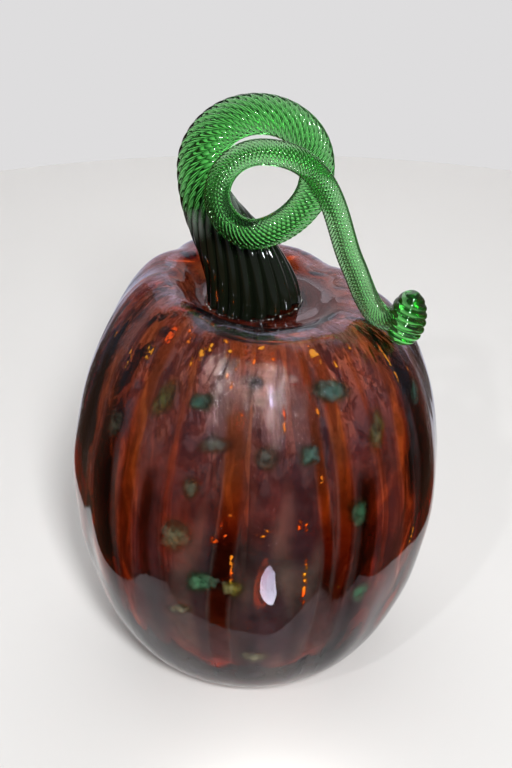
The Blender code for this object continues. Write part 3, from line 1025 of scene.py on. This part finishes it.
        # Painted shade on the glass under the stem's foot, above the equator.
        under_stem_shade = 1.0 - smooth(radius, self.seat_radius - 0.004, self.seat_radius)
        covered = under_stem_shade * (height > self.equator)
        form = np.stack((clear, band, covered), -1).reshape(-1, 3)
        form = np.vstack((form, np.zeros((2, 3))))
        outside = np.concatenate((side.reshape(-1), [0.0, 1.0]))
        # Orange flecks and painted glints, on the skin only.
        gold = np.max([mark.at(azimuth, down) for mark in FLECKS_AND_GLINTS], axis=0).reshape(-1)
        gold = np.concatenate((gold, [0.0, 0.0])) * outside
        milk = np.zeros((len(verts), 4))
        for bit in bits:
            bit.cloud(verts, milk)
        for name, kind, key, values in (
            ("flow", "FLOAT_VECTOR", "vector", flow),
            ("form", "FLOAT_VECTOR", "vector", form),
            ("skin", "FLOAT", "value", outside),
            ("gold", "FLOAT", "value", gold),
            ("milk", "FLOAT_COLOR", "color", milk),
        ):
            body.data.attributes.new(name, kind, "POINT").data.foreach_set(key, values.ravel())
        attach(body, BODY)
        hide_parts("body_shell")
        LOG.info("%s: %d points", body.name, len(verts))
        return body


@dataclass
class TwistedStem:
    """The solid green stem: ribbed stump, one and a quarter turns, tail and end bud."""

    foot_height: float = 0.1583
    foot_radius: float = 0.0183
    foot_shift: float = 0.001
    foot_lip: float = 0.0015
    curl_thickness: float = 0.0176
    tail_thickness: float = 0.0095
    end_thickness: float = 0.0092
    stump_rise: float = 0.052
    stump_straight: float = 0.026
    stump_lean: float = 0.006
    curl_radius: float = 0.0215
    curl_height_share: float = 0.93
    curl_shift: float = 0.001
    curl_back: float = 0.0045
    second_radius: float = 0.0159
    second_shift: float = 0.001
    second_drop: float = 0.0036
    second_step: float = 0.0215
    tail_step_back: float = 0.006
    turns: float = 1.25
    taper: float = 0.8
    knob_centre: tuple[float, float, float] = (0.056389, -0.018814, 0.15986)
    knob_axis: tuple[float, float, float] = (0.18474, 0.12316, 0.97504)
    knob_length: float = 0.0215
    knob_thickness: float = 0.0148
    elbow: tuple[float, float, float] = (0.0212, 0.003, 0.0208)
    ribs: int = 18
    rib_depth: float = 0.140
    rib_slopes: tuple[float, ...] = (14, 26, 36, 42, 47, 50)
    valley_power: float = 1.15
    per_rib: int = 8
    ring_step: float = 0.0005
    line_steps: int = 60
    curl_steps: int = 200
    smoothing: int = 6
    knob_around: int = 96
    knob_steps: int = 80
    knob_ribs: int = 2
    knob_twist: float = -1050.0
    knob_rib_depth: float = 0.085
    tail_valley_shade: float = 0.35
    knob_dark: float = 0.49

    def stump(self, steps: int) -> np.ndarray:
        """The centre line from just above the foot to the left side of the first turn.

        Args:
            steps: how many steps it is cut into.

        Returns:
            Its points.
        """
        lip = np.array((-self.foot_shift, 0.0, self.foot_height + self.foot_lip))
        left = np.array((self.curl_shift - self.curl_radius, self.curl_back,
                         self.foot_height + self.stump_rise))
        return bezier(lip, lip + (-self.stump_lean, 0.0, self.stump_straight),
                      left - (0.0, 0.0, self.curl_radius), left, steps)

    def curl(self, angle: np.ndarray) -> np.ndarray:
        """The centre line of the turns.

        Args:
            angle: angles from the left side of the first turn.

        Returns:
            Its points.
        """
        end = self.turns * 2 * pi
        second = smooth(angle, radians(200), radians(270))
        radius = mix(self.curl_radius, self.second_radius, second)
        forward = self.second_step * smooth(angle, radians(150), radians(300))
        back = self.tail_step_back * smooth(angle, radians(300), end)
        return np.stack((
            self.curl_shift + self.second_shift * second - radius * np.cos(angle),
            self.curl_back - forward + back,
            self.foot_height + self.stump_rise - self.second_drop * second
            + radius * self.curl_height_share * np.sin(angle)), axis=-1)

    def tail(self, top: np.ndarray, steps: int) -> np.ndarray:
        """The centre line from the top of the second turn into the bud.

        Args:
            top: the top of the second turn.
            steps: how many steps each of its two curves is cut into.

        Returns:
            Its points.
        """
        knob = np.array(self.knob_centre)
        reach = np.array(self.elbow)
        elbow = knob + reach * (-1.0, 1.0, 1.0)
        over = mix(top[0], elbow[0], 0.8)
        above = (over, mix(top[1], elbow[1], 0.8), mix(elbow[2], top[2], 0.35))
        first = bezier(top, (over, top[1], top[2]), above, elbow, steps)
        arrive = reach * (-0.66, 0.0, -0.095)
        second = bezier(elbow, elbow + reach * (0.22, -0.30, -0.48),
                        knob + arrive, knob + arrive * 0.32, steps)
        return np.vstack((first[1:], second[1:]))

    def route(self) -> tuple[np.ndarray, np.ndarray, np.ndarray]:
        """The whole centre line in even steps.

        Returns:
            The points, their radii, and how far the ribs have turned at each.
        """
        stump = self.stump(self.line_steps)
        angle = np.linspace(0.0, self.turns * 2 * pi, self.curl_steps)[1:]
        curl = self.curl(angle)
        tail = self.tail(curl[-1], self.line_steps)
        thick = self.curl_thickness / 2
        thin = self.tail_thickness / 2
        sole = stump[0] - (0.0, 0.0, self.foot_lip)
        points = np.vstack((sole, stump[1:], curl, tail))
        radii = np.concatenate((
            mix(thick, self.foot_radius, np.linspace(1.0, 0.0, len(stump)) ** 1.6),
            mix(thick, thin, np.minimum(angle / (2 * pi), 1.0) ** self.taper),
            mix(thin, self.end_thickness / 2, np.linspace(0.0, 1.0, len(tail)))))
        gone = np.concatenate(([0.0], np.cumsum(np.linalg.norm(np.diff(points, axis=0), axis=1))))
        even = np.linspace(0.0, gone[-1], int(gone[-1] / self.ring_step))
        points = np.stack([np.interp(even, gone, points[:, axis]) for axis in range(3)], axis=-1)
        radii = np.interp(even, gone, radii)
        for _ in range(self.smoothing):
            points[1:-1] = (points[:-2] + 2 * points[1:-1] + points[2:]) / 4
        stump_end = gone[len(stump) - 1]
        curl_end = gone[len(stump) + len(curl) - 1]
        marks = (0.0, stump_end * 0.5, stump_end, (stump_end + curl_end) / 2, curl_end, gone[-1])
        slope = np.interp(even, marks, np.radians(self.rib_slopes))
        turn = np.concatenate(([0.0], np.cumsum(np.tan(slope[1:]) / radii[1:] * np.diff(even))))
        return points, radii, turn

    def tube(self) -> tuple[np.ndarray, list, np.ndarray]:
        """The ribbed tube round the route.

        Returns:
            Its points, its faces with the foot's cap last but one, and each point's tone: how deep
            in a valley it is, which sets the valleys' painted shade, how far it belongs to the stump's
            near-black painted shade, and 0.
        """
        points, radii, turn = self.route()
        ahead = np.gradient(points, axis=0)
        ahead /= np.linalg.norm(ahead, axis=1)[:, None]
        side = np.zeros_like(points)
        side[0] = np.cross(ahead[0], (0.0, 1.0, 0.0))
        for ring in range(1, len(points)):
            flat = side[ring - 1] - ahead[ring] * np.dot(side[ring - 1], ahead[ring])
            side[ring] = flat / np.linalg.norm(flat)
        side[0] /= np.linalg.norm(side[0])
        other = np.cross(ahead, side)
        count = self.ribs * self.per_rib
        theta = full_circle(count)
        valley = (1.0 - np.abs(np.cos(self.ribs * theta / 2))) ** self.valley_power
        gone = np.arange(len(points)) * self.ring_step
        spin = theta[None, :] + turn[:, None]
        out = radii[:, None] * (1.0 - self.rib_depth * valley[None, :])
        verts = (points[:, None, :] + (out * np.cos(spin))[..., None] * side[:, None, :]
                 + (out * np.sin(spin))[..., None] * other[:, None, :]).reshape(-1, 3)
        # The valleys' painted shade fades towards the tail.
        paler = mix(1.0, self.tail_valley_shade, smooth(gone, 0.10, gone[-1]))
        # The stump's painted shade, which ends a little above the stump.
        dark = 1.0 - smooth(gone, 0.6 * self.stump_rise, 1.1 * self.stump_rise)
        valley = (paler[:, None] * valley[None, :]).reshape(-1)
        tone = np.stack((valley, np.repeat(dark, count), np.zeros_like(valley)), -1)
        return verts, capped_faces(len(points), count), tone

    def bud(self) -> tuple[np.ndarray, list, np.ndarray]:
        """The end bud: an egg with a blunt point, wound with coarse ridges.

        Returns:
            Its points, its faces and each point's tone, as for the tube; the second is a share of the
            stump's near-black colour that grows towards the bud's top.
        """
        half = self.knob_length / 2
        widest = self.knob_thickness / 2
        waist = (widest, -0.18 * half)
        upper = bezier((0.16 * widest, 0.98 * half), (0.64 * widest, 0.88 * half),
                       (widest, 0.46 * half), waist, self.knob_steps)
        lower = bezier(waist, (widest, -0.68 * half), (0.55 * widest, -half),
                       (0.02 * widest, -half), self.knob_steps)
        rows = np.vstack((upper, lower[1:]))[::-1]
        theta = full_circle(self.knob_around)[None, :]
        phase = self.knob_ribs * (theta - self.knob_twist * rows[:, 1][:, None])
        free = smooth(rows[:, 0], 0.0, widest * 0.5)[:, None]
        valley = free * (1.0 - np.abs(np.cos(phase / 2))) ** self.valley_power
        out = rows[:, 0][:, None] * (1.0 - self.knob_rib_depth * valley)
        local = np.stack((out * np.cos(theta), out * np.sin(theta),
                          np.broadcast_to(rows[:, 1][:, None], out.shape)), -1).reshape(-1, 3)
        turn = np.array(Vector(self.knob_axis).to_track_quat("Z", "Y").to_matrix())
        verts = local @ turn.T + np.array(self.knob_centre)
        high = np.broadcast_to(smooth(rows[:, 1], -half, half)[:, None], out.shape)
        tone = np.stack((valley, self.knob_dark * high, np.zeros_like(out)), -1).reshape(-1, 3)
        return verts, capped_faces(len(rows), self.knob_around), tone

    def build(self, finish: Material, joint: Material) -> Object:
        """Makes the stem as one closed mesh.

        Args:
            finish: the stem's material.
            joint: the finish of its underside, where it was joined to the body.

        Returns:
            The stem.
        """
        verts, faces, tone = self.tube()
        stem = mesh_piece("stem_glass", verts, faces, finish)
        stem.data.materials.append(joint)
        stem.data.polygons[len(faces) - 2].material_index = 1
        bud_verts, bud_faces, bud_tone = self.bud()
        bud = mesh_piece("bud", bud_verts, bud_faces, finish)
        union = stem.modifiers.new("bud", "BOOLEAN")
        union.operation = "UNION"
        union.object = bud
        union.solver = "EXACT"
        mesh = apply_modifiers(stem)
        mesh.shade_smooth()
        mesh.set_sharp_from_angle(angle=radians(60))
        carry_tones(mesh, np.vstack((verts, bud_verts)), np.vstack((tone, bud_tone)))
        bpy.data.objects.remove(bud, do_unlink=True)
        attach(stem, BODY)
        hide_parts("stem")
        LOG.info("%s: %d points", stem.name, len(mesh.vertices))
        return stem


@dataclass
class SeamBead:
    """The thin uneven bead of glass that squeezed out where the stem was joined on."""

    centre: tuple[float, float, float] = (-0.001, 0.0, 0.1584)
    radius: float = 0.0186
    thickness: float = 0.0005
    wave: float = 0.00035
    around: int = 240
    section: int = 10

    def build(self, finish: Material) -> Object:
        """Makes the bead as one closed ring.

        Args:
            finish: the bead's material.

        Returns:
            The bead.
        """
        azimuth = full_circle(self.around)
        theta = full_circle(self.section)
        flat = np.zeros_like(azimuth)
        wave = SlowWaves(71, (5, 40), 0.0).at(azimuth, flat)
        swell = SlowWaves(72, (3, 30), 0.0).at(azimuth, flat)
        middle = self.radius + self.wave * wave
        half = self.thickness / 2 * (1.0 + 0.5 * np.clip(swell, -1.2, 1.2))
        out = middle[:, None] + half[:, None] * np.cos(theta)[None, :]
        rise = half[:, None] * np.sin(theta)[None, :]
        verts = np.stack((out * np.sin(azimuth)[:, None], -out * np.cos(azimuth)[:, None], rise), -1)
        verts = verts.reshape(-1, 3) + np.array(self.centre)
        faces = []
        for ring in range(self.around):
            low = ring * self.section
            high = (ring + 1) % self.around * self.section
            for point in range(self.section):
                after = (point + 1) % self.section
                faces.append((low + point, high + point, high + after, low + after))
        bead = mesh_piece("seam_bead", verts, faces, finish)
        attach(bead, BODY)
        return bead


@dataclass
class FritBit:
    """One bit of coloured glass: the solid's pebble with a smooth, slightly wavy outline."""

    node: str
    slot: str
    seed: int
    wave: float = 0.10
    reach: float = 1.6
    edge_wave: float = 0.18
    deepest: float = 0.004

    def cloud(self, verts: np.ndarray, milk: np.ndarray) -> None:
        """Clouds the skin over the bit with the bit's own colour.

        Args:
            verts: the body's points.
            milk: colour and strength for each point, changed in place.
        """
        points = np.array([vertex.co for vertex in frame["nodes"][self.node].data.vertices])
        centre, axes, half = lying_flat(points)
        flat = (verts - centre) @ axes.T
        angle = np.arctan2(flat[:, 1], flat[:, 0])
        wave = SlowWaves(self.seed + 50, (1, 4), 0.0, 5).at(angle, np.zeros_like(angle))
        away = np.hypot(flat[:, 0] / half[0], flat[:, 1] / half[1]) * (1.0 + self.edge_wave * wave)
        near = (1.0 - smooth(away, 0.1, self.reach)) * (np.abs(flat[:, 2]) < self.deepest)
        stronger = near > milk[:, 3]
        milk[stronger, :3] = linear(FritKind.of_slot(self.slot).value[1])[:3]
        milk[stronger, 3] = near[stronger]

    def build(self, finish: Material) -> Object:
        """Makes the bit where its solid is.

        Args:
            finish: the bit's material.

        Returns:
            The bit.
        """
        source = frame["nodes"][self.node]
        mesh = source.data.copy()
        piece = bpy.data.objects.new(self.node.replace("frit_bit", "frit_glass"), mesh)
        bpy.context.scene.collection.objects.link(piece)
        shape = bmesh.new()
        shape.from_mesh(mesh)
        bmesh.ops.remove_doubles(shape, verts=shape.verts, dist=MERGE)
        shape.to_mesh(mesh)
        shape.free()
        smoother = piece.modifiers.new("smoother", "SUBSURF")
        smoother.levels = 2
        smoother.render_levels = 2
        mesh = apply_modifiers(piece)
        points = np.array([vertex.co for vertex in mesh.vertices])
        centre, axes, reach = lying_flat(points)
        flat = (points - centre) @ axes.T
        angle = np.arctan2(flat[:, 1] / reach[1], flat[:, 0] / reach[0])
        waves = SlowWaves(self.seed, (2, 5), 0.0, 4).at(angle, np.zeros_like(angle))
        rim = np.hypot(flat[:, 0] / reach[0], flat[:, 1] / reach[1])
        pull = self.wave * (0.5 + 0.5 * np.clip(waves, -1, 1)) * smooth(rim, 0.2, 1.0)
        flat[:, :2] *= (1.0 - pull)[:, None]
        points = flat @ axes + centre
        mesh.vertices.foreach_set("co", points.ravel())
        mesh.attributes.new("rim", "FLOAT", "POINT").data.foreach_set("value", np.clip(rim, 0.0, 1.0))
        mesh.materials.clear()
        mesh.materials.append(finish)
        mesh.shade_smooth()
        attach(piece, BODY)
        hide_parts(self.node)
        return piece


@dataclass
class Studio:
    """Pale floor and backdrop, soft lamps, and the camera at the photograph's angle."""

    floor_width: float = 0.50
    floor_short: float = 0.212
    floor_front: float = -0.10
    floor_back: float = 0.6
    arc_points: int = 25
    wall_points: int = 43
    wall: str = "#DEDDDE"
    below: str = "#8C6A54"
    above: str = "#C8CACD"
    wall_half_width: float = radians(42)
    wall_height: float = 1.6
    lamp_colour: tuple[float, float, float] = (0.93, 0.96, 1.0)
    low_size: tuple[float, float] = (0.026, 0.044)
    low_power: float = 0.12
    low_at: tuple[float, float, float] = (0.005, -0.141, 0.017)
    low_aim: tuple[float, float, float] = (0.0, 0.731, 0.682)
    lens: float = 60.0
    sensor: float = 36.0
    camera_distance: float = 0.513
    camera_elevation: float = radians(30)
    target: tuple[float, float, float] = (0.0, 0.0, 0.1203)

    def lay_floor(self) -> None:
        """Lays the pale floor and stands the backdrop behind it."""
        short = self.floor_short / 2
        radius = self.floor_back
        reach = asin(self.floor_width / 2 / radius)
        angle = np.linspace(reach, -reach, self.arc_points)
        edge = np.stack((radius * np.sin(angle), radius * np.cos(angle), np.zeros_like(angle)), -1)
        front = [(-short, self.floor_front, 0.0), (short, self.floor_front, 0.0)]
        outline = np.vstack((front, edge))
        mesh_piece("floor", outline, [tuple(range(len(outline)))], PalePaint().make())
        angle = np.linspace(-self.wall_half_width, self.wall_half_width, self.wall_points)
        low = np.stack((radius * np.sin(angle), radius * np.cos(angle), np.zeros_like(angle)), -1)
        high = low + (0.0, 0.0, self.wall_height)
        count = len(angle)
        faces = [(i, count + i, count + i + 1, i + 1) for i in range(count - 1)]
        mesh_piece("backdrop", np.vstack((low, high)), faces, PaleWall(self.wall).make())

    def lamp(self, name: str, azimuth: float, elevation: float, distance: float,
             size: tuple[float, float], power: float) -> None:
        """Hangs one soft rectangular lamp that faces the pumpkin.

        Args:
            name: the lamp's name.
            azimuth: degrees from the front towards the right.
            elevation: degrees above level.
            distance: metres from the target.
            size: width and height in metres.
            power: watts.
        """
        data = bpy.data.lights.new(name, "AREA")
        data.shape = "RECTANGLE"
        data.size, data.size_y = size
        data.energy = power
        data.color = self.lamp_colour
        light = bpy.data.objects.new(name, data)
        bpy.context.scene.collection.objects.link(light)
        away = Vector((sin(radians(azimuth)) * cos(radians(elevation)),
                       -cos(radians(azimuth)) * cos(radians(elevation)), sin(radians(elevation))))
        light.location = Vector(self.target) + away * distance
        light.rotation_euler = away.to_track_quat("Z", "Y").to_euler()

    def light(self) -> None:
        """Lights the pumpkin: boxes near the camera and behind, two small lamps, and a dim world.

        To the camera the world is as pale as the backdrop. Other rays see it dim, brown below and
        grey above.
        """
        self.lamp("key_box", 12.0, 39.0, 1.2, (0.15, 0.30), 18.0)
        self.lamp("back_box", 180.0, 50.0, 0.65, (1.0, 0.6), 3.0)
        self.lamp("small_box", -25.0, 44.0, 1.2, (0.03, 0.03), 2.0)
        self.low_card()
        world = bpy.data.worlds.new("studio")
        bpy.context.scene.world = world
        world.use_nodes = True
        tree = world.node_tree
        shade = tree.nodes["Background"]
        up = add(tree, "SeparateXYZ", {0: add(tree, "TexCoord")["Generated"]})["Z"]
        level = add(tree, "MapRange", {0: up, 1: -0.1, 2: 0.2, 3: 0.40, 4: 0.32})[0]
        above = add(tree, "MapRange", {0: up, 1: -0.1, 2: 0.05})[0]
        colour = add(tree, "Mix", {0: above, 6: linear(self.below), 7: linear(self.above)},
                     data_type="RGBA")[2]
        feed(tree, shade, {"Strength": level, "Color": colour})
        wall = add(tree, "Background", {"Color": linear(self.wall), "Strength": 1.0})[0]
        path = add(tree, "LightPath")
        both = add(tree, "MixShader", {0: path["Is Camera Ray"], 1: shade.outputs[0], 2: wall})[0]
        tree.links.new(both, tree.nodes["World Output"].inputs["Surface"])

    def low_card(self) -> None:
        """Hangs one small soft lamp low in front, for the low catch-light of the photograph."""
        data = bpy.data.lights.new("low_card", "AREA")
        data.shape = "ELLIPSE"
        data.size, data.size_y = self.low_size
        data.energy = self.low_power
        light = bpy.data.objects.new("low_card", data)
        bpy.context.scene.collection.objects.link(light)
        light.location = self.low_at
        light.rotation_euler = Vector(self.low_aim).to_track_quat("-Z", "Y").to_euler()

    def place_camera(self) -> None:
        """Puts the camera where the photograph was taken from."""
        data = bpy.data.cameras.new("camera")
        data.lens = self.lens
        data.sensor_width = self.sensor
        data.clip_start = 0.01
        camera = bpy.data.objects.new("camera", data)
        bpy.context.scene.collection.objects.link(camera)
        away = Vector((0.0, -cos(self.camera_elevation), sin(self.camera_elevation)))
        camera.location = Vector(self.target) + away * self.camera_distance
        camera.rotation_euler = away.to_track_quat("Z", "Y").to_euler()
        bpy.context.scene.camera = camera


def main() -> None:
    """Builds the studio and each piece of the pumpkin, in order."""
    logging.basicConfig(level=logging.INFO, format="%(name)s: %(message)s")
    bpy.context.scene.view_settings.view_transform = "Standard"
    studio = Studio()
    studio.place_camera()
    studio.lay_floor()
    studio.light()
    slots = {row["node"]: row["material_slot"] for row in frame["record"]["subparts"]}
    nodes = sorted(node for node in frame["nodes"] if node.startswith("frit_bit"))
    bits = [FritBit(node, slots[node], seed) for seed, node in enumerate(nodes)]
    BlownBody().build(AmberBlownGlass().make(), bits)
    TwistedStem().build(GreenRibbedGlass().make(), FusedJoint().make())
    SeamBead().build(SeamGlass().make())
    finishes = {kind: FritGlass(kind).make() for kind in FritKind}
    for bit in bits:
        piece = bit.build(finishes[FritKind.of_slot(bit.slot)])
        LOG.info("%s: %s", piece.name, bit.slot)


if __name__ == "__main__":
    main()
